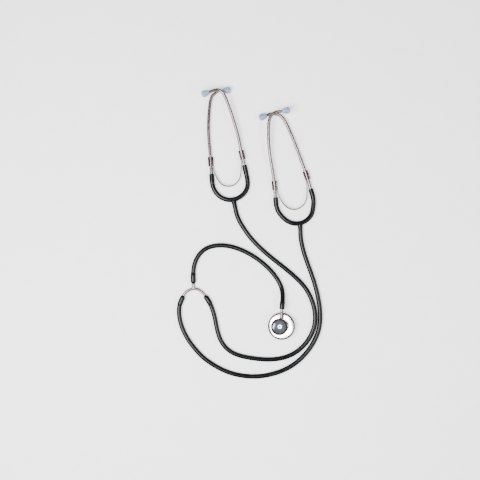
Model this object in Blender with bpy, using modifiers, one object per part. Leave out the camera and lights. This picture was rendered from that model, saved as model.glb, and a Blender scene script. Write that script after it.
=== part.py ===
"""Teaching stethoscope: two sprung headsets that share one dual-head chest piece.

It lies on the plane z = 0. +Y runs from the chest piece towards the ear tips.
"""
import math

import bmesh
import bpy
import numpy as np
from mathutils import Matrix, Vector

MM = 0.001
GAP = 0.3

# Driving dimensions, in millimetres
EAR_TUBE_RADIUS = 2.8
EAR_TUBE_BORE = 2.1
TUBE_INSERTION = 12.0
STRAIGHT_END = 5.0
YOKE_RADIUS = 4.1
YOKE_BORE = 2.2
SOCKET_RADIUS = 3.3
HOSE_RADIUS = 4.0
BOW_RADIUS = 2.5
BOW_BORE = 1.8
STEM_RADIUS = 2.6
TIP_RADIUS = 6.25
LOWER_TIP_HEIGHT = TIP_RADIUS
UPPER_TIP_HEIGHT = 19.2
SPRING_WIDTH = 3.6
SPRING_THICKNESS = 1.2
BRACKET_LENGTH = 16.0
STRIP_OFFSET = 3.6
STRIP_REACH = 6.0
NIPPLE_AHEAD = 2.1
TIP_AHEAD = 2.0
DISH_RADIUS = 21.7
RING_RADIUS = 24.0
BELL_RADIUS = 14.6
BOSS_RADIUS = 11.0
FACE_BELOW_STEM = 9.0
SPINDLE_RADIUS = 2.2
SPINDLE_BORE = 2.5
STEM_END = 29.7
HEAD_TILT = math.radians(13.0)
HEAD_YAW = math.radians(-4.0)

# The stem's axis is raised so that the tilted ring just rests on the table
HEAD_HEIGHT = RING_RADIUS * math.sin(HEAD_TILT) + FACE_BELOW_STEM * math.cos(HEAD_TILT)
HEAD_CENTRE = (56.7, -197.6, HEAD_HEIGHT)

# Faceting
ROUND = 16
ROUND_LARGE = 28
ROUND_SMALL = 12
COIL_SIDES = 6
TUBE_SIDES = 2
SOCKET_SIDES = 3
TUBE_SPACING = 9.0
YOKE_SPACING = 6.5
BOW_SPACING = 4.5
SPRING_SPACING = 5.0
CORD_SPACING = 16.0
CHEST_CORD_SPACING = 12.8
SAMPLES_PER_SPAN = 24

# How far a cutter reaches past the solid that it cuts
OVERSHOOT = 1.0

# Routes of each headset on the table, in millimetres. A leg's last point is its mouth.
HEADSETS = {
    "left_headset": {
        "yoke": [(-50.0, 29.6), (-41.0, 24.6), (-29.8, 23.0), (-18.7, 25.6), (-7.7, 33.5)],
        "stem": [(-25.5, 24.0), (-24.0, 17.0), (-22.4, 9.0)],
        "spring": [(-60.6, 77.5), (-56.6, 65.8), (-51.8, 56.4), (-43.9, 48.8), (-34.5, 46.6),
                   (-26.6, 48.0), (-19.6, 52.8), (-14.4, 61.0), (-12.2, 73.0), (-11.9, 84.0)],
        "left": {
            "leg": [(-59.0, 40.6), (-62.6, 51.6), (-63.9, 68.2)],
            "tube": [(-64.7, 82.0), (-66.2, 102.0), (-67.9, 122.5), (-69.0, 138.0), (-69.2, 154.0),
                     (-68.5, 170.0), (-67.3, 185.0), (-65.3, 197.5), (-61.8, 205.3), (-55.5, 210.6),
                     (-45.8, 214.0)],
            "upper": False, "tip_angle": 2.0, "bracket_at": 22.0,
        },
        "right": {
            "leg": [(-1.6, 43.8), (-0.7, 54.0), (-2.6, 67.0), (-6.6, 84.0)],
            "tube": [(-8.5, 93.0), (-10.7, 102.0), (-14.3, 119.4), (-18.2, 137.2), (-22.8, 153.4),
                     (-28.0, 170.0), (-33.3, 185.5), (-40.0, 201.8), (-46.3, 210.9), (-54.5, 213.6),
                     (-65.8, 210.1)],
            "upper": True, "tip_angle": 200.0, "bracket_at": 18.0,
        },
    },
    "right_headset": {
        "yoke": [(58.5, -5.0), (66.3, -12.2), (75.8, -17.2), (85.2, -18.5), (94.7, -16.9), (104.0, -11.4)],
        "stem": [(90.6, -17.5), (91.4, -24.5), (91.8, -33.0)],
        "spring": [(51.8, 36.0), (54.9, 28.0), (59.8, 19.0), (67.9, 10.2), (80.5, 6.0),
                   (93.0, 10.6), (100.0, 18.6), (102.8, 29.6), (102.9, 41.0), (102.4, 50.0)],
        "left": {
            "leg": [(52.2, 4.4), (49.2, 15.4), (47.9, 27.2)],
            "tube": [(46.7, 43.8), (44.9, 60.0), (41.8, 79.0), (38.4, 99.0), (36.1, 121.6), (35.5, 137.0),
                     (35.7, 152.0), (37.3, 163.0), (40.7, 169.7), (46.1, 174.0), (57.1, 176.1)],
            "upper": True, "tip_angle": 8.0, "bracket_at": 21.0,
        },
        "right": {
            "leg": [(110.4, -3.5), (113.6, 7.5), (114.6, 19.0), (113.2, 30.0), (109.6, 42.2)],
            "tube": [(106.4, 53.5), (102.6, 65.5), (98.4, 77.5), (92.8, 92.6), (85.2, 113.0), (77.4, 132.8),
                     (69.8, 150.2), (63.8, 161.6), (57.7, 169.0), (50.0, 172.7), (42.0, 173.2),
                     (34.2, 171.3)],
            "upper": False, "tip_angle": 201.0, "bracket_at": 25.0,
        },
    },
}

# Centrelines of the hoses, in millimetres, from end to end
HOSE_ROUTES = {
    "right_long_hose": [
        (91.8, -33.3), (92.3, -43.0), (94.4, -55.5), (97.9, -69.5), (103.4, -86.0), (109.6, -103.0),
        (115.4, -120.0), (120.0, -136.5), (123.4, -152.0), (125.6, -167.0), (126.3, -181.5),
        (125.4, -195.5), (121.8, -210.5), (115.3, -225.0), (106.2, -239.3), (94.7, -252.6),
        (81.0, -264.2), (65.0, -273.6), (46.6, -280.5), (28.0, -284.7), (9.4, -286.0), (-9.4, -284.6),
        (-28.2, -280.5), (-46.6, -273.2), (-63.6, -263.6), (-78.8, -252.2), (-91.8, -238.6),
        (-102.8, -224.3), (-111.2, -209.6), (-117.0, -195.0), (-120.0, -181.5), (-120.6, -170.0),
        (-118.8, -158.5), (-114.2, -147.7)],
    "left_long_hose": [
        (-22.3, 8.7), (-20.2, -0.5), (-17.6, -8.0), (-13.9, -16.0), (-8.4, -25.2), (-1.0, -36.0),
        (7.9, -47.0), (18.4, -58.0), (30.0, -68.8), (43.4, -80.0), (58.0, -91.5), (73.4, -104.0),
        (87.8, -117.0),
        (99.4, -130.0), (107.6, -143.5), (113.0, -157.0), (116.4, -170.5), (117.4, -184.0),
        (116.0, -197.0), (111.6, -210.2), (104.0, -223.5), (92.6, -236.4), (78.0, -246.8),
        (61.4, -253.2), (42.7, -256.0), (24.0, -255.8), (5.4, -253.6), (-11.4, -250.2),
        (-26.0, -244.8), (-37.4, -236.6), (-46.0, -225.6), (-51.6, -212.6), (-55.2, -198.0),
        (-58.2, -183.0), (-61.8, -170.0), (-66.6, -158.0), (-73.3, -147.2)],
}
CHEST_HOSE_ROUTE = [
    (-95.6, -120.4), (-95.8, -111.0), (-95.4, -100.5), (-93.6, -90.0), (-89.6, -79.6), (-83.0, -70.0),
    (-73.8, -62.6), (-61.4, -58.0), (-47.0, -56.6), (-32.0, -58.3), (-17.0, -62.6), (-2.0, -69.2),
    (12.8, -78.0), (26.4, -88.2), (38.6, -99.6), (48.4, -111.6), (55.6, -123.6), (59.6, -135.6),
    (60.4, -147.0), (59.7, -157.6)]
CHEST_HOSE_RISE = [(-123.6, 4.4), (-135.6, 6.6), (-147.0, 10.4), (-157.6, 13.4)]

# The Y connector: an arched tube with a stem on its top
BOW_ROUTE = [(-114.0, -147.3), (-112.0, -142.8), (-108.0, -138.2), (-102.5, -134.6), (-95.2, -132.7),
             (-88.0, -133.6), (-82.6, -136.6), (-78.2, -140.6), (-73.5, -146.8)]
CONNECTOR_STEM_X = -95.6
CONNECTOR_STEM_TOP = -120.7
CONNECTOR_STEM_FOOT = -131.5
CONNECTOR_BORE_TOP = -118.7
CONNECTOR_BORE_FOOT = -134.0

# Turned profiles as (radius, height), down the outside and back up the bore
TIP_PROFILE = [(1.2, 13.5), (2.2, 14.0), (3.7, 13.6), (5.0, 12.8), (5.9, 11.3), (TIP_RADIUS, 9.4),
               (6.1, 7.4), (5.5, 5.0), (4.6, 2.3), (4.1, 0.0), (2.6, 0.0), (2.6, 7.4), (1.2, 7.9)]
NIPPLE_PROFILE = [(1.1, 6.6), (2.0, 6.6), (2.2, 5.8), (1.9, 5.0), (2.2, 4.2), (1.9, 3.4), (1.9, -0.4),
                  (2.7, -0.5), (2.7, -1.5), (1.7, -1.6), (1.7, -5.0), (1.1, -5.0)]
BODY_PROFILE = [(1.1, 6.2), (7.0, 6.2), (9.8, 5.6), (BOSS_RADIUS, 4.2), (BOSS_RADIUS, -2.6), (11.5, -3.5),
                (13.0, -4.0), (17.0, -4.4), (21.0, -4.9), (DISH_RADIUS, -5.4), (DISH_RADIUS, -6.7),
                (20.2, -6.7), (19.6, -6.2), (12.0, -5.9), (1.1, -5.7)]
BELL_PROFILE = [(13.0, 12.9), (13.5, 12.9), (13.5, 11.4), (12.6, 9.6), (10.6, 7.9), (8.0, 6.9),
                (5.0, 6.5), (1.1, 6.5), (1.1, 7.7), (3.2, 7.9), (5.6, 8.5), (8.0, 9.3), (10.4, 10.4),
                (12.2, 11.6)]
RIM_PROFILE = [(11.9, 14.1), (14.0, 14.2), (BELL_RADIUS, 13.6), (BELL_RADIUS, 11.9), (13.9, 11.7),
               (13.8, 13.2), (12.0, 13.2)]
MEMBRANE_PROFILE = [(0.0, -8.0), (22.6, -8.0), (22.6, -8.4), (0.0, -8.4)]
GASKET_PROFILE = [(20.4, -7.0), (22.0, -7.0), (22.4, -7.3), (22.0, -7.7), (20.4, -7.7), (20.1, -7.3)]
RING_PROFILE = [(22.1, -5.0), (22.7, -4.7), (23.3, -4.9), (23.8, -5.5), (RING_RADIUS, -6.3),
                (RING_RADIUS, -8.5),
                (23.5, -FACE_BELOW_STEM), (20.6, -FACE_BELOW_STEM), (20.6, -8.7), (22.9, -8.7),
                (22.9, -6.8), (22.1, -6.4)]
STEM_PROFILE = [(1.5, STEM_END), (2.3, STEM_END), (STEM_RADIUS, STEM_END - 0.6), (STEM_RADIUS, 24.6),
                (2.9, 24.4), (2.9, 24.0), (1.5, 24.0)]
NUT_PROFILE = [(SPINDLE_BORE, 23.7), (3.1, 23.7), (3.4, 23.2), (3.4, 12.0), (3.2, 11.6), (2.9, 11.6),
               (2.9, 10.1), (SPINDLE_BORE, 10.1)]
SPINDLE_PROFILE = [(1.0, 23.7), (SPINDLE_RADIUS, 23.7), (SPINDLE_RADIUS, 9.8), (2.9, 9.8), (2.9, 8.9),
                   (SPINDLE_RADIUS, 8.9), (SPINDLE_RADIUS, -5.6), (1.9, -6.0), (0.0, -6.0), (0.0, -2.0),
                   (1.0, -2.0)]

# Cross-section of a spring bracket, as (towards the other tube, up) from the ear tube's axis
BRACKET_SECTION = [(-4.6, 2.4), (-4.6, -2.0), (-3.1, -4.0), (4.2, -4.0), (5.0, -3.3), (5.0, 1.2),
                   (4.5, 1.2), (4.5, -2.9), (2.4, -3.1), (-1.6, -3.1), (-2.6, -2.3), (-3.2, -1.0),
                   (-3.2, 2.4)]

# Detent that holds the head at the bell or at the diaphragm
DETENT_Y = 5.0
DETENT_HOLE = 1.25
BALL_RADIUS = 0.9
BALL_CLEARANCE = 0.05
DIMPLE_DEPTH = 0.35
COIL_RADIUS = 0.75
COIL_WIRE = 0.14
COIL_TURNS = 5
COIL_START = 4.4
COIL_END = 7.8
SCREW_START = 8.4
SCREW_LENGTH = 2.2
SCREW_CLEARANCE = 0.25

# Holes in the chest head
SPINDLE_PORT = 0.9
PORT_REACH = 4.0
DIMPLE_RADIUS = 0.72
DIMPLE_REACH = 2.0
BORE_START = -6.4
BORE_END = 20.0
FLANGE_SEAT = 3.2
FLANGE_START = 8.6
DETENT_START = -1.0
DETENT_END = -14.0


def start_scene():
    for old in list(bpy.data.objects):
        bpy.data.objects.remove(old)
    groups = []
    for name in ("stethoscope", "cutters"):
        group = bpy.data.collections.new(name)
        bpy.context.scene.collection.children.link(group)
        groups.append(group)
    return groups


PARTS, CUTTERS = start_scene()


def material(name, colour, roughness, metallic=0.0, alpha=1.0):
    made = bpy.data.materials.new(name)
    made.use_nodes = True
    shader = made.node_tree.nodes["Principled BSDF"]
    shader.inputs["Base Color"].default_value = (*colour, 1.0)
    shader.inputs["Roughness"].default_value = roughness
    shader.inputs["Metallic"].default_value = metallic
    shader.inputs["Alpha"].default_value = alpha
    return made


CHROME = ((0.72, 0.69, 0.68), 0.14, 1.0)
DARK_METAL = ((0.16, 0.15, 0.15), 0.3, 1.0)
STEEL = ((0.55, 0.55, 0.56), 0.3, 1.0)
BLACK_PVC = ((0.012, 0.014, 0.016), 0.28)
TIP_PLASTIC = ((0.72, 0.76, 0.84), 0.3)
MEMBRANE_PLASTIC = ((0.85, 0.86, 0.84), 0.35)
GASKET_RUBBER = ((0.02, 0.02, 0.02), 0.7)
BRASS = ((0.7, 0.52, 0.25), 0.3, 1.0)


def link(thing, finish=None):
    """Put an object among the parts with its own material, or among the cutters."""
    if finish is None:
        CUTTERS.objects.link(thing)
        thing.hide_render = True
        thing.display_type = "WIRE"
    else:
        PARTS.objects.link(thing)
        thing.data.materials.append(material(thing.name, *finish))
    return thing


def smooth_route(points):
    """Points close together on a natural cubic spline through a route, with the length at each."""
    knots = np.array(points, dtype=float)
    chord = np.r_[0.0, np.cumsum(np.linalg.norm(np.diff(knots, axis=0), axis=1))]
    step = np.diff(chord)
    size = len(knots)
    system = np.eye(size)
    slopes = np.zeros_like(knots)
    for i in range(1, size - 1):
        system[i, i - 1:i + 2] = (step[i - 1], 2.0 * (step[i - 1] + step[i]), step[i])
        rise = (knots[i + 1] - knots[i]) / step[i] - (knots[i] - knots[i - 1]) / step[i - 1]
        slopes[i] = 6.0 * rise
    bend = np.linalg.solve(system, slopes)
    fine = []
    for i in range(size - 1):
        for share in np.linspace(0.0, 1.0, SAMPLES_PER_SPAN, endpoint=False):
            left, right = 1.0 - share, share
            curve = (left ** 3 - left) * bend[i] + (right ** 3 - right) * bend[i + 1]
            fine.append(left * knots[i] + right * knots[i + 1] + curve * step[i] ** 2 / 6.0)
    fine.append(knots[-1])
    fine = np.array(fine)
    length = np.r_[0.0, np.cumsum(np.linalg.norm(np.diff(fine, axis=0), axis=1))]
    return fine, length


def point_at(route, distance):
    """The point at a distance along a route, and its direction there."""
    fine, length = route
    here = np.array([np.interp(distance, length, fine[:, k]) for k in range(3)])
    ahead = np.array([np.interp(distance + 1.0, length, fine[:, k]) for k in range(3)])
    behind = np.array([np.interp(distance - 1.0, length, fine[:, k]) for k in range(3)])
    return Vector(here), Vector(ahead - behind).normalized()


def evenly(route, spacing, first=0.0, last=0.0):
    """Points spread evenly along a route, with one straight run of its own at either end if asked."""
    fine, length = route
    start, stop = first, length[-1] - last
    count = max(2, round((stop - start) / spacing)) + 1
    marks = list(np.linspace(start, stop, count))
    marks = [0.0] * (first > 0.0) + marks + [length[-1]] * (last > 0.0)
    return [tuple(np.interp(m, length, fine[:, k]) for k in range(3)) for m in marks]


def curve_mesh(name, curve):
    """The mesh that a curve makes. The curve itself is removed."""
    holder = bpy.data.objects.new(name + "_curve", curve)
    CUTTERS.objects.link(holder)
    bpy.context.view_layer.update()
    depsgraph = bpy.context.evaluated_depsgraph_get()
    mesh = bpy.data.meshes.new_from_object(holder.evaluated_get(depsgraph))
    bpy.data.objects.remove(holder)
    bpy.data.curves.remove(curve)
    return mesh


def weld(mesh):
    """Join a mesh's doubled corners into one closed surface that faces outwards."""
    welded = bmesh.new()
    welded.from_mesh(mesh)
    bmesh.ops.remove_doubles(welded, verts=welded.verts, dist=1e-6)
    bmesh.ops.recalc_face_normals(welded, faces=welded.faces)
    welded.to_mesh(mesh)
    welded.free()
    return mesh


def tube_mesh(name, points, radius, resolution):
    """A capped round tube along points, as one welded mesh."""
    spline_owner = bpy.data.curves.new(name, "CURVE")
    spline_owner.dimensions = "3D"
    spline_owner.bevel_depth = radius * MM
    spline_owner.bevel_resolution = resolution
    spline_owner.use_fill_caps = True
    spline = spline_owner.splines.new("POLY")
    spline.points.add(len(points) - 1)
    for target, point in zip(spline.points, points):
        target.co = (*(Vector(point) * MM), 1.0)
    mesh = weld(curve_mesh(name, spline_owner))
    shade(mesh)
    return bpy.data.objects.new(name, mesh)


def shade(mesh):
    mesh.shade_smooth()
    mesh.set_sharp_from_angle(angle=math.radians(40.0))


def boolean(target, cutter, operation="DIFFERENCE"):
    modifier = target.modifiers.new(cutter.name, "BOOLEAN")
    modifier.operation = operation
    modifier.object = cutter
    modifier.solver = "EXACT"


def stretched(points, extra):
    """The same points with both ends moved outwards, so that a cutter clears the ends."""
    first, second = Vector(points[0]), Vector(points[1])
    last, before = Vector(points[-1]), Vector(points[-2])
    out = [tuple(first + (first - second).normalized() * extra)]
    out += [tuple(p) for p in points[1:-1]]
    out += [tuple(last + (last - before).normalized() * extra)]
    return out


def hollow_tube(name, points, radius, bore, finish):
    outer = link(tube_mesh(name, points, radius, TUBE_SIDES), finish)
    inner = link(tube_mesh(name + "_bore", stretched(points, OVERSHOOT), bore, TUBE_SIDES))
    boolean(outer, inner)
    return outer


def turned(name, profile, segments, finish, closed=True):
    """A solid turned about its own Z axis."""
    mesh = bpy.data.meshes.new(name)
    outline = bmesh.new()
    corners = [outline.verts.new((r * MM, 0.0, h * MM)) for r, h in profile]
    for first, second in zip(corners, corners[1:]):
        outline.edges.new((first, second))
    if closed:
        outline.edges.new((corners[-1], corners[0]))
    outline.to_mesh(mesh)
    outline.free()
    made = link(bpy.data.objects.new(name, mesh), finish)
    screw = made.modifiers.new("turned", "SCREW")
    screw.steps = segments
    screw.render_steps = segments
    screw.use_merge_vertices = True
    screw.merge_threshold = 0.00001
    screw.use_smooth_shade = True
    return made


def rod(name, radius, start, end, segments=ROUND, finish=None):
    """A plain cylinder between two points in millimetres, for holes and screws."""
    low, high = Vector(start), Vector(end)
    mesh = bpy.data.meshes.new(name)
    shape = bmesh.new()
    bmesh.ops.create_cone(shape, cap_ends=True, segments=segments, radius1=radius * MM,
                          radius2=radius * MM, depth=(high - low).length * MM)
    shape.to_mesh(mesh)
    shape.free()
    made = link(bpy.data.objects.new(name, mesh), finish)
    turn = (high - low).to_track_quat("Z", "Y").to_matrix().to_4x4()
    made.matrix_world = Matrix.Translation((low + high) / 2.0 * MM) @ turn
    return made


def pivot(name, matrix):
    """An empty on a joint's axis, which carries the pieces that move about it."""
    marker = bpy.data.objects.new(name, None)
    marker.empty_display_size = 0.01
    marker.matrix_world = matrix
    PARTS.objects.link(marker)
    bpy.context.view_layer.update()
    return marker


def hang(piece, marker):
    piece.parent = marker
    piece.matrix_parent_inverse = marker.matrix_world.inverted()


def facing(origin, direction):
    """A frame at a point in millimetres, with its Z axis along a direction."""
    turn = Vector(direction).to_track_quat("Z", "Y").to_matrix().to_4x4()
    return Matrix.Translation(Vector(origin) * MM) @ turn


def raised(points, start_height, end_height):
    """A flat route given heights that rise evenly along it."""
    flat = np.array(points, dtype=float)
    run = np.r_[0.0, np.cumsum(np.linalg.norm(np.diff(flat, axis=0), axis=1))]
    share = run / run[-1]
    heights = start_height + (end_height - start_height) * share
    return [(x, y, z) for (x, y), z in zip(points, heights)]


def ear_tube_route(side):
    """The tube's centreline from its heel, inside the yoke, to the ear tip."""
    before, mouth = Vector(side["leg"][-2]), Vector(side["leg"][-1])
    inward = (before - mouth).normalized()
    heel = [tuple(mouth + inward * TUBE_INSERTION * share) for share in (1.0, 0.5)]
    heading = math.radians(side["tip_angle"])
    end, outward = Vector(side["tube"][-1]), Vector((math.cos(heading), math.sin(heading)))
    straight = [tuple(end - outward * STRAIGHT_END * share) for share in (1.0, 0.5, 0.0)]
    tip_height = UPPER_TIP_HEIGHT if side["upper"] else LOWER_TIP_HEIGHT
    flat = heel + [tuple(mouth)] + side["tube"][:-1] + straight
    return smooth_route(raised(flat, YOKE_RADIUS + GAP, tip_height))


def leg_heights(side, tube_route):
    """The yoke leg's points from its mouth inwards, on the ear tube's line and then on the table."""
    low, high = (point_at(tube_route, d)[0] for d in (0.0, TUBE_INSERTION))
    middle = (low + high) / 2.0
    rest = [(x, y, YOKE_RADIUS) for x, y in side["leg"][:-2]]
    return rest + [tuple(low), tuple(middle), tuple(high)]


def yoke(name, headset, tubes):
    left = leg_heights(headset["left"], tubes["left"])
    right = leg_heights(headset["right"], tubes["right"])
    middle = [(x, y, YOKE_RADIUS) for x, y in headset["yoke"]]
    loop = evenly(smooth_route(list(reversed(left)) + middle + right), YOKE_SPACING,
                  TUBE_INSERTION, TUBE_INSERTION)
    stem = [(x, y, YOKE_RADIUS) for x, y in headset["stem"]]
    made = link(tube_mesh(name, loop, YOKE_RADIUS, SOCKET_SIDES), BLACK_PVC)
    stem_solid = link(tube_mesh(name + "_stem", stem, HOSE_RADIUS, SOCKET_SIDES))
    boolean(made, stem_solid, "UNION")
    bores = [(loop, YOKE_BORE, "_bore"), (stem, YOKE_BORE, "_stem_bore")]
    for points, radius, suffix in bores:
        outward = stretched(points, OVERSHOOT)
        if suffix == "_stem_bore":
            outward = points[:-1] + outward[-1:]
        boolean(made, link(tube_mesh(name + suffix, outward, radius, TUBE_SIDES)))
    for side, route in tubes.items():
        heel, direction = point_at(route, 0.0)
        mouth, outward = point_at(route, TUBE_INSERTION)
        beyond = mouth + outward * 2.0 * OVERSHOOT
        points = [heel - direction * OVERSHOOT, (heel + mouth) / 2.0, mouth, beyond]
        socket = tube_mesh(name + "_socket_" + side, points, SOCKET_RADIUS, SOCKET_SIDES)
        boolean(made, link(socket))
    return made


def bracket(name, route, distance, inward_sign, marker):
    """A folded clip that holds the end of the leaf spring against the ear tube."""
    centre, along = point_at(route, distance)
    outline = bpy.data.curves.new(name, "CURVE")
    outline.dimensions = "2D"
    outline.fill_mode = "BOTH"
    outline.extrude = BRACKET_LENGTH / 2.0 * MM
    spline = outline.splines.new("POLY")
    spline.points.add(len(BRACKET_SECTION) - 1)
    spline.use_cyclic_u = True
    for target, (across, up) in zip(spline.points, BRACKET_SECTION):
        target.co = (across * inward_sign * MM, up * MM, 0.0, 1.0)
    mesh = weld(curve_mesh(name, outline))
    made = link(bpy.data.objects.new(name, mesh), CHROME)
    across = along.cross(Vector((0.0, 0.0, 1.0))).normalized()
    up = across.cross(along)
    turn = Matrix((across, up, -along)).transposed().to_4x4()
    made.matrix_world = Matrix.Translation(centre * MM) @ turn
    hang(made, marker)
    return made


def strip_end(route, distance, inward_sign):
    centre, along = point_at(route, distance)
    across = along.cross(Vector((0.0, 0.0, 1.0))).normalized()
    return centre + across * STRIP_OFFSET * inward_sign


def leaf_spring(name, headset, tubes):
    """A thin strip on edge, bowed between the two brackets."""
    ends = []
    for side, sign in (("left", 1.0), ("right", -1.0)):
        foot = headset[side]["bracket_at"] + TUBE_INSERTION - BRACKET_LENGTH / 2.0
        ends.append([strip_end(tubes[side], foot + d, sign) for d in (STRIP_REACH, 0.0)])
    middle = [Vector((x, y, 0.0)) for x, y in headset["spring"]]
    path = [*ends[0], *middle, *reversed(ends[1])]
    flat, _ = smooth_route([(p.x, p.y, 0.0) for p in path])
    ribbon = evenly(smooth_route(flat[::SAMPLES_PER_SPAN // 2]), SPRING_SPACING)
    first, last = ends[0][0], ends[1][0]
    slope = math.atan2(last.z - first.z, last.x - first.x)
    strip = bpy.data.curves.new(name, "CURVE")
    strip.dimensions = "2D"
    strip.fill_mode = "NONE"
    strip.extrude = SPRING_WIDTH / 2.0 * MM
    spline = strip.splines.new("POLY")
    spline.points.add(len(ribbon) - 1)
    for target, point in zip(spline.points, ribbon):
        target.co = ((point[0] - first.x) * MM, point[1] * MM, 0.0, 1.0)
    made = link(bpy.data.objects.new(name, curve_mesh(name, strip)), STEEL)
    made.location = (first.x * MM, 0.0, first.z * MM)
    made.rotation_euler = (0.0, -slope, 0.0)
    solid = made.modifiers.new("thickness", "SOLIDIFY")
    solid.thickness = SPRING_THICKNESS * MM
    solid.offset = 0.0
    return made


def ear_end(name, route, marker):
    """The threaded nipple at the end of an ear tube, and the tip on it."""
    end, direction = point_at(route, route[1][-1])
    nipple = turned(name + "_tip_nipple", NIPPLE_PROFILE, ROUND_SMALL, CHROME)
    tip = turned(name + "_ear_tip", TIP_PROFILE, ROUND, TIP_PLASTIC)
    for piece, ahead in ((nipple, NIPPLE_AHEAD), (tip, TIP_AHEAD)):
        piece.matrix_world = facing(end + direction * ahead, direction)
        hang(piece, marker)


def headset(name, shape):
    tubes = {side: ear_tube_route(shape[side]) for side in ("left", "right")}
    yoke(name + "_yoke", shape, tubes)
    leaf_spring(name + "_leaf_spring", shape, tubes)
    for side, inward_sign in (("left", 1.0), ("right", -1.0)):
        route, label = tubes[side], name + "_" + side
        heel, _ = point_at(route, 0.0)
        marker = pivot(label + "_pivot", Matrix.Translation(heel * MM))
        points = evenly(route, TUBE_SPACING, TUBE_INSERTION, STRAIGHT_END)
        tube = hollow_tube(label + "_ear_tube", points, EAR_TUBE_RADIUS, EAR_TUBE_BORE, CHROME)
        hang(tube, marker)
        distance = TUBE_INSERTION + shape[side]["bracket_at"]
        bracket(label + "_spring_bracket", route, distance, inward_sign, marker)
        ear_end(label, route, marker)


def hoses():
    for name, flat in HOSE_ROUTES.items():
        route = smooth_route([(x, y, HOSE_RADIUS) for x, y in flat])
        link(tube_mesh(name, evenly(route, CORD_SPACING), HOSE_RADIUS, TUBE_SIDES), BLACK_PVC)
    rise = dict(CHEST_HOSE_RISE)
    points = [(x, y, rise.get(y, HOSE_RADIUS)) for x, y in CHEST_HOSE_ROUTE]
    frame = head_frame()
    end = frame @ Vector((0.0, (STEM_END + GAP) * MM, 0.0)) / MM
    route = smooth_route([*points, tuple(end)])
    link(tube_mesh("chest_hose", evenly(route, CHEST_CORD_SPACING), HOSE_RADIUS, TUBE_SIDES), BLACK_PVC)


def connector():
    height = HOSE_RADIUS
    bow = smooth_route([(x, y, height) for x, y in BOW_ROUTE])
    hollow_tube("connector_bow", evenly(bow, BOW_SPACING), BOW_RADIUS, BOW_BORE, CHROME)
    top = (CONNECTOR_STEM_X, CONNECTOR_STEM_TOP, height)
    foot = (CONNECTOR_STEM_X, CONNECTOR_STEM_FOOT, height)
    stem = rod("connector_stem", STEM_RADIUS, top, foot, ROUND, CHROME)
    above = (CONNECTOR_STEM_X, CONNECTOR_BORE_TOP, height)
    below = (CONNECTOR_STEM_X, CONNECTOR_BORE_FOOT, height)
    boolean(stem, rod("connector_stem_bore", BOW_BORE, above, below, ROUND))
    saddle = tube_mesh("connector_saddle", evenly(bow, BOW_SPACING), BOW_RADIUS + GAP, SOCKET_SIDES)
    boolean(stem, link(saddle))


def head_frame():
    """The chest head's frame: Y along the stem, Z out of the bell."""
    place = Matrix.Translation(Vector(HEAD_CENTRE) * MM)
    return place @ Matrix.Rotation(HEAD_YAW, 4, "Z") @ Matrix.Rotation(-HEAD_TILT, 4, "Y")


def in_frame(piece, frame, local=None):
    piece.matrix_world = frame @ (local or piece.matrix_world)


def stem_pieces(frame):
    """The stem and its valve spindle, which stay still while the head turns."""
    along_stem = Matrix.Rotation(-math.pi / 2.0, 4, "X")
    in_frame(turned("chest_stem", STEM_PROFILE, ROUND, CHROME), frame, along_stem)
    spindle = turned("valve_spindle", SPINDLE_PROFILE, ROUND, BRASS)
    in_frame(spindle, frame, along_stem)
    port = rod("spindle_port", SPINDLE_PORT, (0.0, 0.0, 0.0), (0.0, 0.0, PORT_REACH), ROUND_SMALL)
    in_frame(port, frame)
    boolean(spindle, port)
    for side in (-1.0, 1.0):
        reach = SPINDLE_RADIUS - DIMPLE_DEPTH
        inner = (side * reach, DETENT_Y, 0.0)
        outer = (side * (reach + DIMPLE_REACH), DETENT_Y, 0.0)
        dimple = rod("spindle_dimple", DIMPLE_RADIUS, inner, outer, ROUND_SMALL)
        in_frame(dimple, frame)
        boolean(spindle, dimple)


def head_body(frame, marker):
    body = turned("head_body", BODY_PROFILE, ROUND_LARGE, CHROME)
    in_frame(body, frame)
    hang(body, marker)
    holes = [
        ("stem_bore", SPINDLE_BORE, (0.0, BORE_START, 0.0), (0.0, BORE_END, 0.0), ROUND),
        ("flange_seat", FLANGE_SEAT, (0.0, FLANGE_START, 0.0), (0.0, BORE_END, 0.0), ROUND),
        ("detent_hole", DETENT_HOLE, (DETENT_START, DETENT_Y, 0.0), (DETENT_END, DETENT_Y, 0.0), ROUND_SMALL),
    ]
    for name, radius, start, end, segments in holes:
        hole = rod(name, radius, start, end, segments)
        in_frame(hole, frame)
        boolean(body, hole)


def detent(frame, marker):
    """A ball, pushed by a coil spring and a grub screw, that clicks into the spindle."""
    mesh = bpy.data.meshes.new("detent_ball")
    shape = bmesh.new()
    bmesh.ops.create_uvsphere(shape, u_segments=12, v_segments=8, radius=BALL_RADIUS * MM)
    shape.to_mesh(mesh)
    shape.free()
    ball = link(bpy.data.objects.new("detent_ball", mesh), STEEL)
    reach = -(SPINDLE_RADIUS + BALL_CLEARANCE + BALL_RADIUS)
    in_frame(ball, frame, Matrix.Translation(Vector((reach, DETENT_Y, 0.0)) * MM))
    steps = COIL_TURNS * COIL_SIDES
    helix = []
    for i in range(steps + 1):
        turn = 2.0 * math.pi * COIL_TURNS * i / steps
        out = -(COIL_START + (COIL_END - COIL_START) * i / steps)
        helix.append((out, DETENT_Y + COIL_RADIUS * math.cos(turn), COIL_RADIUS * math.sin(turn)))
    coil = link(tube_mesh("detent_spring", helix, COIL_WIRE, 1), STEEL)
    in_frame(coil, frame)
    screw = rod("detent_screw", DETENT_HOLE - SCREW_CLEARANCE, (-SCREW_START, DETENT_Y, 0.0),
                (-SCREW_START - SCREW_LENGTH, DETENT_Y, 0.0), ROUND_SMALL, STEEL)
    in_frame(screw, frame)
    for piece in (ball, coil, screw):
        hang(piece, marker)


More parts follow.
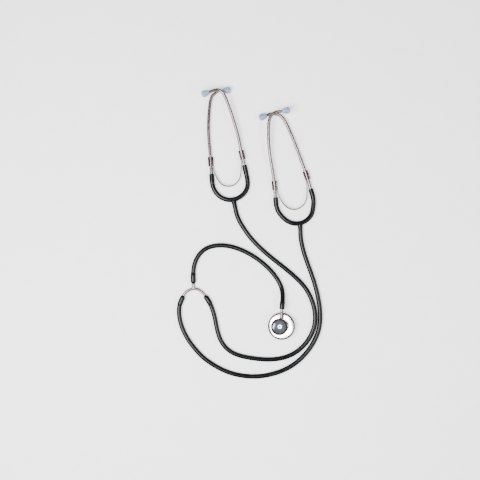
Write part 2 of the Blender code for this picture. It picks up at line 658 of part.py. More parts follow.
def chest_piece():
    frame = head_frame()
    stem_pieces(frame)
    marker = pivot("chest_swivel_pivot", frame)
    head_body(frame, marker)
    detent(frame, marker)
    nut = turned("gland_nut", NUT_PROFILE, ROUND, CHROME)
    in_frame(nut, frame, Matrix.Rotation(-math.pi / 2.0, 4, "X"))
    hang(nut, marker)
    rings = [
        ("bell_cup", BELL_PROFILE, CHROME, True),
        ("bell_rim", RIM_PROFILE, DARK_METAL, True),
        ("diaphragm", MEMBRANE_PROFILE, MEMBRANE_PLASTIC, False),
        ("diaphragm_gasket", GASKET_PROFILE, GASKET_RUBBER, True),
        ("diaphragm_ring", RING_PROFILE, CHROME, True),
    ]
    for name, profile, finish, closed in rings:
        piece = turned(name, profile, ROUND_LARGE, finish, closed)
        in_frame(piece, frame)
        hang(piece, marker)


for headset_name, headset_shape in HEADSETS.items():
    headset(headset_name, headset_shape)
hoses()
connector()
chest_piece()
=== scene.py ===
"""The looks of the teaching stethoscope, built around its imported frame. Metres, +Z up."""
import math

import bmesh
import bpy
import numpy as np
from mathutils import Matrix, Vector


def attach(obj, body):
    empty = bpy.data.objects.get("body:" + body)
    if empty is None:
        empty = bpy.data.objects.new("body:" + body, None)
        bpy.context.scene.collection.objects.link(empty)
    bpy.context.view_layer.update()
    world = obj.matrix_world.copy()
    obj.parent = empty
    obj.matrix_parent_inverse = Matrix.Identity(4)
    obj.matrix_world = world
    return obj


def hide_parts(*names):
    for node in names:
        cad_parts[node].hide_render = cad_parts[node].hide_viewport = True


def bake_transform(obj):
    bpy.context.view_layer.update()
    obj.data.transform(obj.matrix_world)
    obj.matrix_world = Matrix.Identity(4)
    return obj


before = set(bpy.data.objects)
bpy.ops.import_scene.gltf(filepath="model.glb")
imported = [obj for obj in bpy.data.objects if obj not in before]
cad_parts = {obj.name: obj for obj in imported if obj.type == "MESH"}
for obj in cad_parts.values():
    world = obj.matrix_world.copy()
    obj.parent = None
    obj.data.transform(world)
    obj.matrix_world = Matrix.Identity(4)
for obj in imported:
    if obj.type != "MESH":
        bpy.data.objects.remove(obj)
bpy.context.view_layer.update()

MM = 0.001

# Sizes shared with the CAD, in millimetres
EAR_TUBE_RADIUS = 2.8
TUBE_INSERTION = 12.0
STRAIGHT_END = 5.0
YOKE_RADIUS = 4.1
HOSE_RADIUS = 4.0
BOW_RADIUS = 2.5
STEM_RADIUS = 2.6
GAP = 0.3
LOWER_TIP_HEIGHT = 6.25
UPPER_TIP_HEIGHT = 19.2
SPRING_WIDTH = 3.6
SPRING_THICKNESS = 1.2
BRACKET_LENGTH = 16.0
STRIP_OFFSET = 3.6
STRIP_REACH = 6.0
NIPPLE_LENGTH = 2.0
STEM_END = 29.7
RING_RADIUS = 24.0
FACE_BELOW_STEM = 9.0
HEAD_TILT = math.radians(13.0)
HEAD_YAW = math.radians(-4.0)
HEAD_HEIGHT = RING_RADIUS * math.sin(HEAD_TILT) + FACE_BELOW_STEM * math.cos(HEAD_TILT)
HEAD_CENTRE = (56.7, -197.6, HEAD_HEIGHT)

# Sizes of the looks only: a little wider than the CAD, to match the photo's widths
HOSE_LOOK_RADIUS = 4.3
YOKE_LOOK_RADIUS = 4.4
YOKE_SWELL = 0.15
CUFF_RADIUS = 4.8
CUFF_LENGTH = 15.0
SPRING_LEAN = math.radians(16.0)
STEM_FLARE = 2.9
BOW_FLARE = 2.2

# How long each leg piece is beyond the tube's insertion, and how far from its end the spring's strip has the
# bracket's finish
LEG_BEND = 16.0
SPRING_FOLLOWS = 9.0

# The soft lip at a hose's end
LIP_LENGTH = 0.9
LIP_DEPTH = 0.7
LIP_MARKS = np.array([0.0, 0.08, 0.2, 0.4, 0.65, 0.9])
LIP_END = 1.4

# Finishes of parts of a piece: how far out the painted dark reflection on a bracket's flange starts, how far
# in the painted shade of the sound hole reaches, the rounding of a bracket's edges and the floor's glow
FLANGE_OFFSET = 2.6
BORE_LIMIT = 1.9
BRACKET_BEVEL = 0.28
FLOOR_GLOW = 0.85

# The camera looks straight down on the middle of the view
VIEW_CENTRE = (-14.0, -47.25)
VIEW_WIDTH = 840.0
CAMERA_DISTANCE = 1700.0
SENSOR_WIDTH = 36.0

# Fineness of the surfaces
SAMPLES_PER_SPAN = 24
TUBE_SIDES = 32
HOSE_SIDES = 36
FINE_STEP = 1.5
TURNED_STEPS = 96

HEADSETS = {
    "left_headset": {
        "yoke": [(-50.0, 29.6), (-41.0, 24.6), (-29.8, 23.0), (-18.7, 25.6), (-7.7, 33.5)],
        "stem": [(-25.5, 24.0), (-24.0, 17.0), (-22.4, 9.0)],
        "spring": [(-60.6, 77.5), (-56.6, 65.8), (-51.8, 56.4), (-43.9, 48.8), (-34.5, 46.6),
                   (-26.6, 48.0), (-19.6, 52.8), (-14.4, 61.0), (-12.2, 73.0), (-11.9, 84.0)],
        "left": {
            "leg": [(-59.0, 40.6), (-62.6, 51.6), (-63.9, 68.2)],
            "tube": [(-64.7, 82.0), (-66.2, 102.0), (-67.9, 122.5), (-69.0, 138.0), (-69.2, 154.0),
                     (-68.5, 170.0), (-67.3, 185.0), (-65.3, 197.5), (-61.8, 205.3), (-55.5, 210.6),
                     (-45.8, 214.0)],
            "upper": False, "tip_angle": 2.0, "bracket_at": 22.0,
        },
        "right": {
            "leg": [(-1.6, 43.8), (-0.7, 54.0), (-2.6, 67.0), (-6.6, 84.0)],
            "tube": [(-8.5, 93.0), (-10.7, 102.0), (-14.3, 119.4), (-18.2, 137.2), (-22.8, 153.4),
                     (-28.0, 170.0), (-33.3, 185.5), (-40.0, 201.8), (-46.3, 210.9), (-54.5, 213.6),
                     (-65.8, 210.1)],
            "upper": True, "tip_angle": 200.0, "bracket_at": 18.0,
        },
    },
    "right_headset": {
        "yoke": [(58.5, -5.0), (66.3, -12.2), (75.8, -17.2), (85.2, -18.5), (94.7, -16.9), (104.0, -11.4)],
        "stem": [(90.6, -17.5), (91.4, -24.5), (91.8, -33.0)],
        "spring": [(51.8, 36.0), (54.9, 28.0), (59.8, 19.0), (67.9, 10.2), (80.5, 6.0),
                   (93.0, 10.6), (100.0, 18.6), (102.8, 29.6), (102.9, 41.0), (102.4, 50.0)],
        "left": {
            "leg": [(52.2, 4.4), (49.2, 15.4), (47.9, 27.2)],
            "tube": [(46.7, 43.8), (44.9, 60.0), (41.8, 79.0), (38.4, 99.0), (36.1, 121.6), (35.5, 137.0),
                     (35.7, 152.0), (37.3, 163.0), (40.7, 169.7), (46.1, 174.0), (57.1, 176.1)],
            "upper": True, "tip_angle": 8.0, "bracket_at": 21.0,
        },
        "right": {
            "leg": [(110.4, -3.5), (113.6, 7.5), (114.6, 19.0), (113.2, 30.0), (109.6, 42.2)],
            "tube": [(106.4, 53.5), (102.6, 65.5), (98.4, 77.5), (92.8, 92.6), (85.2, 113.0), (77.4, 132.8),
                     (69.8, 150.2), (63.8, 161.6), (57.7, 169.0), (50.0, 172.7), (42.0, 173.2),
                     (34.2, 171.3)],
            "upper": False, "tip_angle": 201.0, "bracket_at": 25.0,
        },
    },
}

HOSE_ROUTES = {
    "right_long_hose": [
        (91.8, -33.3), (92.3, -43.0), (94.4, -55.5), (97.9, -69.5), (103.4, -86.0), (109.6, -103.0),
        (115.4, -120.0), (120.0, -136.5), (123.4, -152.0), (125.6, -167.0), (126.3, -181.5),
        (125.4, -195.5), (121.8, -210.5), (115.3, -225.0), (106.2, -239.3), (94.7, -252.6),
        (81.0, -264.2), (65.0, -273.6), (46.6, -280.5), (28.0, -284.7), (9.4, -286.0), (-9.4, -284.6),
        (-28.2, -280.5), (-46.6, -273.2), (-63.6, -263.6), (-78.8, -252.2), (-91.8, -238.6),
        (-102.8, -224.3), (-111.2, -209.6), (-117.0, -195.0), (-120.0, -181.5), (-120.6, -170.0),
        (-118.8, -158.5), (-114.2, -147.7)],
    "left_long_hose": [
        (-22.3, 8.7), (-20.2, -0.5), (-17.6, -8.0), (-13.9, -16.0), (-8.4, -25.2), (-1.0, -36.0),
        (7.9, -47.0),
        (18.4, -58.0), (30.0, -68.8), (43.4, -80.0), (58.0, -91.5), (73.4, -104.0), (87.8, -117.0),
        (99.4, -130.0), (107.6, -143.5), (113.0, -157.0), (116.4, -170.5), (117.4, -184.0),
        (116.0, -197.0), (111.6, -210.2), (104.0, -223.5), (92.6, -236.4), (78.0, -246.8),
        (61.4, -253.2), (42.7, -256.0), (24.0, -255.8), (5.4, -253.6), (-11.4, -250.2),
        (-26.0, -244.8), (-37.4, -236.6), (-46.0, -225.6), (-51.6, -212.6), (-55.2, -198.0),
        (-58.2, -183.0), (-61.8, -170.0), (-66.6, -158.0), (-73.3, -147.2)],
}
CHEST_HOSE_ROUTE = [
    (-95.6, -120.4), (-95.8, -111.0), (-95.4, -100.5), (-93.6, -90.0), (-89.6, -79.6), (-83.0, -70.0),
    (-73.8, -62.6), (-61.4, -58.0), (-47.0, -56.6), (-32.0, -58.3), (-17.0, -62.6), (-2.0, -69.2),
    (12.8, -78.0), (26.4, -88.2), (38.6, -99.6), (48.4, -111.6), (55.6, -123.6), (59.6, -135.6),
    (60.4, -147.0), (59.7, -157.6)]
CHEST_HOSE_RISE = [(-123.6, 4.4), (-135.6, 6.6), (-147.0, 10.4), (-157.6, 13.4)]
BOW_ROUTE = [(-114.0, -147.3), (-112.0, -142.8), (-108.0, -138.2), (-102.5, -134.6), (-95.2, -132.7),
             (-88.0, -133.6), (-82.6, -136.6), (-78.2, -140.6), (-73.5, -146.8)]
CONNECTOR_STEM_X = -95.6
CONNECTOR_STEM_TOP = -120.7
CONNECTOR_STEM_FOOT = -132.7
CONNECTOR_INSERTION = 6.0


# ---------------------------------------------------------------- routes and meshes

def smooth_route(points):
    """Points close together on a natural cubic spline through a route, with the length at each."""
    knots = np.array(points, dtype=float)
    step = np.linalg.norm(np.diff(knots, axis=0), axis=1)
    size = len(knots)
    system = np.eye(size)
    slopes = np.zeros_like(knots)
    for i in range(1, size - 1):
        system[i, i - 1:i + 2] = (step[i - 1], 2.0 * (step[i - 1] + step[i]), step[i])
        rise = (knots[i + 1] - knots[i]) / step[i] - (knots[i] - knots[i - 1]) / step[i - 1]
        slopes[i] = 6.0 * rise
    bend = np.linalg.solve(system, slopes)
    fine = []
    for i in range(size - 1):
        for share in np.linspace(0.0, 1.0, SAMPLES_PER_SPAN, endpoint=False):
            left, right = 1.0 - share, share
            curve = (left ** 3 - left) * bend[i] + (right ** 3 - right) * bend[i + 1]
            fine.append(left * knots[i] + right * knots[i + 1] + curve * step[i] ** 2 / 6.0)
    fine.append(knots[-1])
    fine = np.array(fine)
    length = np.r_[0.0, np.cumsum(np.linalg.norm(np.diff(fine, axis=0), axis=1))]
    return fine, length


def place(route, distance):
    fine, length = route
    return np.array([np.interp(distance, length, fine[:, k]) for k in range(3)])


def point_at(route, distance):
    """The point at a distance along a route, and its direction there."""
    along = place(route, distance + 1.0) - place(route, distance - 1.0)
    return Vector(place(route, distance)), Vector(along).normalized()


def evenly(route, spacing):
    count = max(2, round(route[1][-1] / spacing)) + 1
    return np.array([place(route, m) for m in np.linspace(0.0, route[1][-1], count)])


def new_object(name, mesh):
    made = bpy.data.objects.new(name, mesh)
    bpy.context.scene.collection.objects.link(made)
    return made


def mesh_from(name, build, sharp=40.0):
    """An object whose mesh a function fills in, shaded smooth but for its sharp edges."""
    shape = bmesh.new()
    build(shape)
    bmesh.ops.recalc_face_normals(shape, faces=shape.faces)
    mesh = bpy.data.meshes.new(name)
    shape.to_mesh(mesh)
    shape.free()
    mesh.shade_smooth()
    mesh.set_sharp_from_angle(angle=math.radians(sharp))
    return new_object(name, mesh)


def path_frames(points):
    """Direction, side and up at each point of a path, without twist."""
    ahead = np.gradient(points, axis=0)
    ahead /= np.linalg.norm(ahead, axis=1)[:, None]
    side = np.cross(ahead, (0.0, 0.0, 1.0))
    side /= np.linalg.norm(side, axis=1)[:, None]
    return ahead, side, np.cross(side, ahead)


def circle(sides):
    turn = np.linspace(0.0, 2.0 * math.pi, sides, endpoint=False)
    return np.c_[np.cos(turn), np.sin(turn)]


def skin(shape, rings, caps):
    """Faces between rings of vertices, with or without a cap at each end."""
    for low, high in zip(rings, rings[1:]):
        for k in range(len(low)):
            after = (k + 1) % len(low)
            shape.faces.new((low[k], low[after], high[after], high[k]))
    if caps[0]:
        shape.faces.new(rings[0])
    if caps[1]:
        shape.faces.new(reversed(rings[-1]))


def sweep(name, points, scales, section, caps=(True, True), sharp=40.0):
    """A section, as (side, up) pairs, carried along points; scales has its size at each point."""
    points = np.asarray(points, dtype=float)
    scales = np.asarray(scales, dtype=float)
    if scales.ndim < 2:
        scales = np.repeat(np.broadcast_to(scales, (len(points),))[:, None], 2, axis=1)
    _, side, up = path_frames(points)

    def build(shape):
        rings = []
        for i, centre in enumerate(points):
            wide, tall = scales[i]
            ring = [centre + side[i] * u * wide + up[i] * v * tall for u, v in section]
            rings.append([shape.verts.new(tuple(p * MM)) for p in ring])
        skin(shape, rings, caps)

    return mesh_from(name, build, sharp)


def rounded(profile, radius, closed=True, steps=4):
    """A profile with each corner replaced by a small arc."""
    count = len(profile)
    corners = [Vector(p) for p in profile]
    out = []
    for i, corner in enumerate(corners):
        before, after = corners[i - 1], corners[(i + 1) % count]
        if not closed and i in (0, count - 1):
            out.append(tuple(corner))
            continue
        back, forth = before - corner, after - corner
        cut_back = min(radius, back.length * 0.45)
        cut_forth = min(radius, forth.length * 0.45)
        start = corner + back.normalized() * cut_back
        stop = corner + forth.normalized() * cut_forth
        for share in np.linspace(0.0, 1.0, steps + 1):
            curve = start * (1 - share) ** 2 + corner * 2 * share * (1 - share) + stop * share ** 2
            out.append(tuple(curve))
    return out


def turned(name, profile, matrix, closed=True, steps=TURNED_STEPS, sharp=50.0):
    """A solid turned about the Z axis of a frame, from (radius, height) pairs in millimetres."""
    def build(shape):
        rings = []
        for r, h in profile:
            if r < 1e-6:
                rings.append([shape.verts.new((0.0, 0.0, h * MM))])
                continue
            rings.append([shape.verts.new((r * x * MM, r * y * MM, h * MM)) for x, y in circle(steps)])
        pairs = list(zip(rings, rings[1:]))
        if closed:
            pairs.append((rings[-1], rings[0]))
        for low, high in pairs:
            if len(low) == len(high) == 1:
                continue
            for k in range(steps):
                after = (k + 1) % steps
                corners = [low[k % len(low)], low[after % len(low)],
                           high[after % len(high)], high[k % len(high)]]
                shape.faces.new(list(dict.fromkeys(corners)))
    made = mesh_from(name, build, sharp)
    made.matrix_world = matrix
    return made


def facing(origin, direction):
    turn = Vector(direction).to_track_quat("Z", "Y").to_matrix().to_4x4()
    return Matrix.Translation(Vector(origin) * MM) @ turn


# ---------------------------------------------------------------- materials

def new_material(name):
    made = bpy.data.materials.new(name)
    made.use_nodes = True
    nodes = made.node_tree.nodes
    shader = next(n for n in nodes if n.type == "BSDF_PRINCIPLED")
    return made, nodes, made.node_tree.links, shader


def noise(nodes, links, scale, detail=4.0):
    """A noise value over the object's own coordinates."""
    where = nodes.new("ShaderNodeTexCoord")
    texture = nodes.new("ShaderNodeTexNoise")
    texture.inputs["Scale"].default_value = scale
    texture.inputs["Detail"].default_value = detail
    links.new(where.outputs["Object"], texture.inputs["Vector"])
    return texture.outputs["Fac"]


def ramp(nodes, links, source, low, high, start=0.35, stop=0.65):
    """A colour ramp from one grey or colour to another."""
    made = nodes.new("ShaderNodeValToRGB")
    ends = made.color_ramp.elements
    ends[0].position, ends[1].position = start, stop
    ends[0].color = (*low, 1.0) if hasattr(low, "__len__") else (low, low, low, 1.0)
    ends[1].color = (*high, 1.0) if hasattr(high, "__len__") else (high, high, high, 1.0)
    links.new(source, made.inputs["Fac"])
    return made.outputs["Color"]


def bump(nodes, links, source, shader, strength, distance):
    made = nodes.new("ShaderNodeBump")
    made.inputs["Strength"].default_value = strength
    made.inputs["Distance"].default_value = distance
    links.new(source, made.inputs["Height"])
    links.new(made.outputs["Normal"], shader.inputs["Normal"])


def chrome(name, dark, light, roughness=(0.06, 0.16), ripple=0.12, metallic=1.0, sheen=0.1):
    """Plated metal: faint tarnish in its colour, smears in its gloss, and slight ripples."""
    made, nodes, links, shader = new_material(name)
    shader.inputs["Metallic"].default_value = metallic
    shader.inputs["Specular IOR Level"].default_value = sheen
    tarnish = noise(nodes, links, 60.0, 5.0)
    links.new(ramp(nodes, links, tarnish, dark, light), shader.inputs["Base Color"])
    smears = noise(nodes, links, 350.0, 6.0)
    links.new(ramp(nodes, links, smears, *roughness), shader.inputs["Roughness"])
    bump(nodes, links, noise(nodes, links, 140.0, 2.0), shader, ripple, 0.0002)
    return made


def black_pvc(name):
    """Extruded black PVC: soft gloss, dust in the low spots, and a faint moulded ripple."""
    made, nodes, links, shader = new_material(name)
    cloud = noise(nodes, links, 45.0, 6.0)
    dust = ramp(nodes, links, cloud, (0.0018, 0.0022, 0.0027), (0.0042, 0.0050, 0.0060))
    links.new(dust, shader.inputs["Base Color"])
    smears = noise(nodes, links, 220.0, 8.0)
    links.new(ramp(nodes, links, smears, 0.17, 0.25), shader.inputs["Roughness"])
    shader.inputs["Specular IOR Level"].default_value = 0.18
    bump(nodes, links, noise(nodes, links, 500.0, 3.0), shader, 0.012, 0.0001)
    return made


def tip_plastic(name):
    """Milky bluish translucent plastic with a hazy skin."""
    made, nodes, links, shader = new_material(name)
    haze = noise(nodes, links, 160.0, 4.0)
    links.new(ramp(nodes, links, haze, (0.27, 0.33, 0.47), (0.38, 0.44, 0.58)), shader.inputs["Base Color"])
    links.new(ramp(nodes, links, noise(nodes, links, 500.0), 0.22, 0.38), shader.inputs["Roughness"])
    shader.inputs["Transmission Weight"].default_value = 0.25
    shader.inputs["Subsurface Weight"].default_value = 0.35
    shader.inputs["Subsurface Radius"].default_value = (0.004, 0.004, 0.005)
    shader.inputs["Subsurface Scale"].default_value = 1.0
    shader.inputs["IOR"].default_value = 1.45
    bump(nodes, links, noise(nodes, links, 700.0, 3.0), shader, 0.1, 0.0001)
    return made


def membrane_plastic(name):
    """Glass-fibre sheet: a fine weave under a clear skin."""
    made, nodes, links, shader = new_material(name)
    where = nodes.new("ShaderNodeTexCoord")
    waves = []
    for direction in ("X", "Y"):
        wave = nodes.new("ShaderNodeTexWave")
        wave.bands_direction = direction
        wave.inputs["Scale"].default_value = 350.0
        wave.inputs["Distortion"].default_value = 0.6
        links.new(where.outputs["Object"], wave.inputs["Vector"])
        waves.append(wave.outputs["Fac"])
    weave = nodes.new("ShaderNodeMath")
    weave.operation = "MULTIPLY"
    links.new(waves[0], weave.inputs[0])
    links.new(waves[1], weave.inputs[1])
    colour = ramp(nodes, links, weave.outputs["Value"], (0.70, 0.71, 0.66), (0.84, 0.84, 0.80), 0.1, 0.8)
    links.new(colour, shader.inputs["Base Color"])
    links.new(ramp(nodes, links, noise(nodes, links, 300.0), 0.24, 0.4), shader.inputs["Roughness"])
    bump(nodes, links, weave.outputs["Value"], shader, 0.2, 0.0001)
    return made


def gasket_rubber(name):
    made, nodes, links, shader = new_material(name)
    links.new(ramp(nodes, links, noise(nodes, links, 200.0), (0.012, 0.012, 0.012), (0.03, 0.03, 0.028)),
              shader.inputs["Base Color"])
    links.new(ramp(nodes, links, noise(nodes, links, 700.0), 0.55, 0.8), shader.inputs["Roughness"])
    bump(nodes, links, noise(nodes, links, 900.0), shader, 0.3, 0.0002)
    return made


def floor_paper(name):
    """A white sheet that is bright enough to lose its own shade."""
    made, nodes, links, shader = new_material(name)
    links.new(ramp(nodes, links, noise(nodes, links, 30.0), (0.90, 0.90, 0.90), (0.93, 0.93, 0.93)),
              shader.inputs["Base Color"])
    shader.inputs["Roughness"].default_value = 0.9
    shader.inputs["Emission Color"].default_value = (1.0, 1.0, 1.0, 1.0)
    shader.inputs["Emission Strength"].default_value = FLOOR_GLOW
    return made


MATERIALS = {
    "tube_chrome": chrome("tube_chrome", (0.150, 0.122, 0.121), (0.205, 0.170, 0.169), (0.22, 0.33)),
    "head_chrome": chrome("head_chrome", (0.74, 0.73, 0.73), (0.82, 0.81, 0.80), (0.14, 0.20), ripple=0.01),
    "bell_chrome": chrome("bell_chrome", (0.36, 0.38, 0.425), (0.46, 0.48, 0.53), (0.14, 0.20), ripple=0.02),
    "ring_chrome": chrome("ring_chrome", (0.090, 0.070, 0.067), (0.125, 0.098, 0.094), (0.42, 0.52),
                          ripple=0.02),
    "rim_metal": chrome("rim_metal", (0.0140, 0.0122, 0.0120), (0.0200, 0.0176, 0.0172), (0.45, 0.55),
                        ripple=0.02, metallic=0.1, sheen=0.02),
    # Dark steel that paints light: a painted dark reflection on three brackets' outer flanges, and painted
    # shade on the sound hole's walls
    "painted_shade_and_reflection_steel": chrome("painted_shade_and_reflection_steel", (0.020, 0.018, 0.018), (0.040, 0.036, 0.035), (0.30, 0.42)),
    "spring_steel": chrome("spring_steel", (0.030, 0.023, 0.023), (0.055, 0.043, 0.043), (0.30, 0.42)),
    "brass": chrome("brass", (0.16, 0.10, 0.045), (0.30, 0.20, 0.09), (0.30, 0.45)),
    "black_pvc": black_pvc("black_pvc"),
    "tip_plastic": tip_plastic("tip_plastic"),
    "membrane": membrane_plastic("membrane"),
    "gasket": gasket_rubber("gasket"),
    "floor": floor_paper("floor"),
}


def finish(piece, material, body, slot, *nodes):
    """Give a piece its material and its body, and hide the CAD nodes it stands for. The slot is not used."""
    piece.data.materials.clear()
    piece.data.materials.append(MATERIALS[material])
    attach(piece, body)
    if nodes:
        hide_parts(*nodes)


def finish_bent(piece, material, arm, start, end, slot, *nodes):
    """Give a piece its material, bake its placement into its mesh and hide the CAD nodes it stands for."""
    piece.data.materials.clear()
    piece.data.materials.append(MATERIALS[material])
    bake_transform(piece)
    if nodes:
        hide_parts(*nodes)


# ---------------------------------------------------------------- camera

def make_camera():
    lens = bpy.data.cameras.new("camera")
    lens.sensor_width = SENSOR_WIDTH
    lens.lens = SENSOR_WIDTH * CAMERA_DISTANCE / VIEW_WIDTH
    lens.clip_start, lens.clip_end = 0.05, 20.0
    camera = bpy.data.objects.new("camera", lens)
    bpy.context.scene.collection.objects.link(camera)
    camera.location = (VIEW_CENTRE[0] * MM, VIEW_CENTRE[1] * MM, (CAMERA_DISTANCE + HOSE_RADIUS) * MM)
    bpy.context.scene.camera = camera


# ---------------------------------------------------------------- hoses

def smoothstep(value):
    value = np.clip(value, 0.0, 1.0)
    return value * value * (3.0 - 2.0 * value)


def lip_drop(distance):
    """How much a hose's radius shrinks near its end, in a quarter circle."""
    lip = np.clip(1.0 - distance / LIP_LENGTH, 0.0, 1.0)
    return LIP_DEPTH * (1.0 - np.sqrt(np.clip(1.0 - lip ** 2, 0.0, 1.0)))


def hose_radii(distances, total, cuffs):
    """The hose's radius along its length: swollen over a pushed-in tube, with a soft lip at its end."""
    radius = np.full(len(distances), HOSE_LOOK_RADIUS)
    for cuffed, distance in zip(cuffs, (distances, total - distances)):
        if cuffed:
            swell = 1.0 - smoothstep((distance - CUFF_LENGTH + 4.0) / 5.0)
            radius += (CUFF_RADIUS - HOSE_LOOK_RADIUS) * swell
            radius -= lip_drop(distance)
    return radius


def hose_marks(total):
    """Distances along a hose: close together at its two ends, where the lips are."""
    inner = np.linspace(LIP_END, total - LIP_END, round(total / FINE_STEP))
    return np.r_[LIP_MARKS, inner, total - LIP_MARKS[::-1]]


def hose(name, points, cuffs):
    route = smooth_route(points)
    total = route[1][-1]
    marks = hose_marks(total)
    path = np.array([place(route, m) for m in marks])
    # The cuffs are thicker than the hose, so the ends lift by the difference to stay on the table
    radii = hose_radii(marks, total, cuffs)
    lift = np.maximum(radii - path[:, 2], 0.0)
    path[:, 2] += lift
    piece = sweep(name + "_tube", path, radii, circle(HOSE_SIDES))
    finish(piece, "black_pvc", "root", "black_pvc", name)


def head_frame():
    """The chest head's frame: Y along the stem, Z out of the bell."""
    place_at = Matrix.Translation(Vector(HEAD_CENTRE) * MM)
    return place_at @ Matrix.Rotation(HEAD_YAW, 4, "Z") @ Matrix.Rotation(-HEAD_TILT, 4, "Y")


def hoses():
    for name, flat in HOSE_ROUTES.items():
        points = [(x, y, HOSE_RADIUS) for x, y in flat]
        hose(name, points, (False, True))
    rise = dict(CHEST_HOSE_RISE)
    points = [(x, y, rise.get(y, HOSE_RADIUS)) for x, y in CHEST_HOSE_ROUTE]
    end = head_frame() @ Vector((0.0, (STEM_END + GAP) * MM, 0.0)) / MM
    points.append(tuple(end))
    hose("chest_hose", points, (True, True))


# ---------------------------------------------------------------- headsets

# Brackets whose outer flange gets a painted dark reflection
PAINTED_REFLECTION_BRACKETS = ("left_headset_left_spring_bracket", "left_headset_right_spring_bracket",
                 "right_headset_left_spring_bracket")


def raised(points, start_height, end_height):
    flat = np.array(points, dtype=float)
    run = np.r_[0.0, np.cumsum(np.linalg.norm(np.diff(flat, axis=0), axis=1))]
    heights = start_height + (end_height - start_height) * run / run[-1]
    return [(x, y, z) for (x, y), z in zip(points, heights)]


def ear_tube_route(side):
    """The tube's centreline from its heel, inside the yoke, to the ear tip."""
    before, mouth = Vector(side["leg"][-2]), Vector(side["leg"][-1])
    inward = (before - mouth).normalized()
    heel = [tuple(mouth + inward * TUBE_INSERTION * share) for share in (1.0, 0.5)]
    heading = math.radians(side["tip_angle"])
    end, outward = Vector(side["tube"][-1]), Vector((math.cos(heading), math.sin(heading)))
    straight = [tuple(end - outward * STRAIGHT_END * share) for share in (1.0, 0.5, 0.0)]
    tip_height = UPPER_TIP_HEIGHT if side["upper"] else LOWER_TIP_HEIGHT
    flat = heel + [tuple(mouth)] + side["tube"][:-1] + straight
    return smooth_route(raised(flat, YOKE_RADIUS + GAP, tip_height))


def leg_points(side, tube_route):
    low, high = (point_at(tube_route, d)[0] for d in (0.0, TUBE_INSERTION))
    rest = [(x, y, YOKE_RADIUS) for x, y in side["leg"][:-2]]
    return rest + [tuple(low), tuple((low + high) / 2.0), tuple(high)]


def yoke(name, headset, tubes):
    """The moulded Y: a root part with the stem, and a separate leg piece on each side."""
    left = leg_points(headset["left"], tubes["left"])
    right = leg_points(headset["right"], tubes["right"])
    middle = [(x, y, YOKE_RADIUS) for x, y in headset["yoke"]]
    route = smooth_route(list(reversed(left)) + middle + right)
    total = route[1][-1]
    bend_from = TUBE_INSERTION + LEG_BEND + 1.0
    legs = np.linspace(LIP_END, bend_from, 28)
    body = np.linspace(bend_from, total - bend_from, round(total / FINE_STEP))
    marks = np.r_[LIP_MARKS, legs, body[1:-1], total - legs[::-1], total - LIP_MARKS[::-1]]
    path = np.array([place(route, m) for m in marks])
    near_end = np.minimum(marks, total - marks)
    swell = 1.0 - smoothstep((near_end - TUBE_INSERTION - 1.0) / 4.0)
    radii = YOKE_LOOK_RADIUS + YOKE_SWELL * swell
    radii = radii - lip_drop(near_end)
    path[:, 2] += np.maximum(radii - path[:, 2], 0.0)
    first = len(LIP_MARKS) + len(legs)
    last = len(marks) - first
    section = circle(HOSE_SIDES)
    parts = [("left", slice(0, first), (True, False)), ("right", slice(last, None), (False, True))]
    frames = path_frames(path)
    whole = sweep_range(name + "_yoke_body", path, radii, section, frames,
                        slice(first - 1, last + 1), (False, False))
    finish(whole, "black_pvc", "root", "black_pvc", name + "_yoke")
    for side, span, caps in parts:
        leg = sweep_range(f"{name}_yoke_{side}_leg", path, radii, section, frames, span, caps)
        arm = f"{name}_{side}_arm"
        heel, along = point_at(tubes[side], 0.0)
        start, end = heel - along * LEG_BEND, heel + along * LEG_BEND
        finish_bent(leg, "black_pvc", arm, start * MM, end * MM, "black_pvc")
    stem(name, headset)


def sweep_range(name, path, radii, section, frames, span, caps):
    """One stretch of a swept tube, with the same rings as the whole."""
    _, side, up = frames
    chosen = range(*span.indices(len(path)))

    def build(shape):
        rings = []
        for i in chosen:
            ring = [path[i] + (side[i] * u + up[i] * v) * radii[i] for u, v in section]
            rings.append([shape.verts.new(tuple(p * MM)) for p in ring])
        skin(shape, rings, caps)

    made = mesh_from(name, build)
    open_ends = not any(caps)
    if open_ends:
        flip_outward(made)
    return made


def flip_outward(piece):
    """Make sure that an open tube's faces point away from its middle line."""
    mesh = piece.data
    face = mesh.polygons[len(mesh.polygons) // 2]
    ring = [mesh.vertices[v].co for v in range(len(mesh.vertices))]
    near = sorted(ring, key=lambda co: (co - face.center).length)[:HOSE_SIDES * 2]
    middle = sum(near, Vector()) / len(near)
    if (face.center - middle).dot(face.normal) < 0:
        mesh.flip_normals()


def stem(name, headset):
    """The yoke's stem, which widens into the legs like a moulded fillet."""
    route = smooth_route([(x, y, YOKE_RADIUS) for x, y in headset["stem"]])
    total = route[1][-1]
    path = evenly(route, 0.5)
    # The last ring is moved on a little, to close the gap to the hose
    path[-1] += (path[-1] - path[-2]) * 0.7
    marks = np.linspace(0.0, total, len(path))
    flare = np.exp(-marks / 2.6)
    path[:, 2] = YOKE_RADIUS + (HOSE_LOOK_RADIUS - YOKE_RADIUS) * smoothstep(marks / total)
    tall = YOKE_RADIUS - 0.35 * flare + (HOSE_LOOK_RADIUS - YOKE_RADIUS) * smoothstep(marks / total)
    scales = np.c_[HOSE_LOOK_RADIUS + STEM_FLARE * flare, tall]
    piece = sweep(name + "_yoke_stem", path, scales, circle(HOSE_SIDES))
    finish(piece, "black_pvc", "root", "black_pvc")


def ear_tube(name, side, route):
    """The bent tube, rolled over a little where the nipple screws in."""
    total = route[1][-1]
    marks = np.r_[np.linspace(0.0, total - 3.0, round(total / FINE_STEP)),
                  total - np.array([2.4, 1.8, 1.2, 0.6, 0.2, 0.0])]
    path = np.array([place(route, m) for m in marks])
    radii = np.full(len(marks), EAR_TUBE_RADIUS)
    radii[-1] -= 0.25
    label = f"{name}_{side}"
    piece = sweep(label + "_ear_tube_fine", path, radii, circle(TUBE_SIDES))
    finish(piece, "tube_chrome", label + "_arm", "chrome", label + "_ear_tube")


